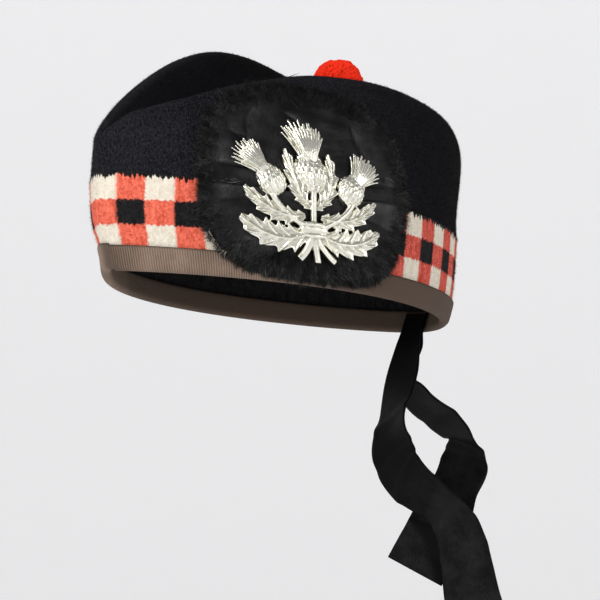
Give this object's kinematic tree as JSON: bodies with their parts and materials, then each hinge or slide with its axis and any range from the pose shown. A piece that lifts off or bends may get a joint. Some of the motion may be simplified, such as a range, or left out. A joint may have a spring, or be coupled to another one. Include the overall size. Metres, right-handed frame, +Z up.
{
  "type": "glengarry bonnet",
  "caption": "Folded felt glengarry bonnet with a diced knitted band, ribbon binding, side rosette with a thistle badge, wool toorie and hanging ribbon tails.",
  "frame": {"origin": "middle of the rim's length and width at the level of the rim, where the bonnet sits on a head", "axes": "+Z up as worn, -Y to the wearer's front, +X to the wearer's left; the bonnet is worn with its rim 6.2 degrees lower at the back"},
  "size_m": [0.1561, 0.2452, 0.3053],
  "materials": {
    "felt": "napped navy wool felt, almost black",
    "knit": "knitted wool dicing in red, white and black",
    "grosgrain": "ribbed taupe grosgrain ribbon",
    "silk": "black silk ribbon with a frayed selvedge",
    "white_metal": "cast and polished white metal",
    "wool": "clipped curly red wool"
  },
  "bodies": {
    "root": {"crown": "felt", "diced_band": "knit", "binding": "grosgrain", "rosette": "silk", "badge": "white_metal", "toorie": "wool", "tail_left": "silk", "tail_right": "silk"}
  },
  "joints": []
}
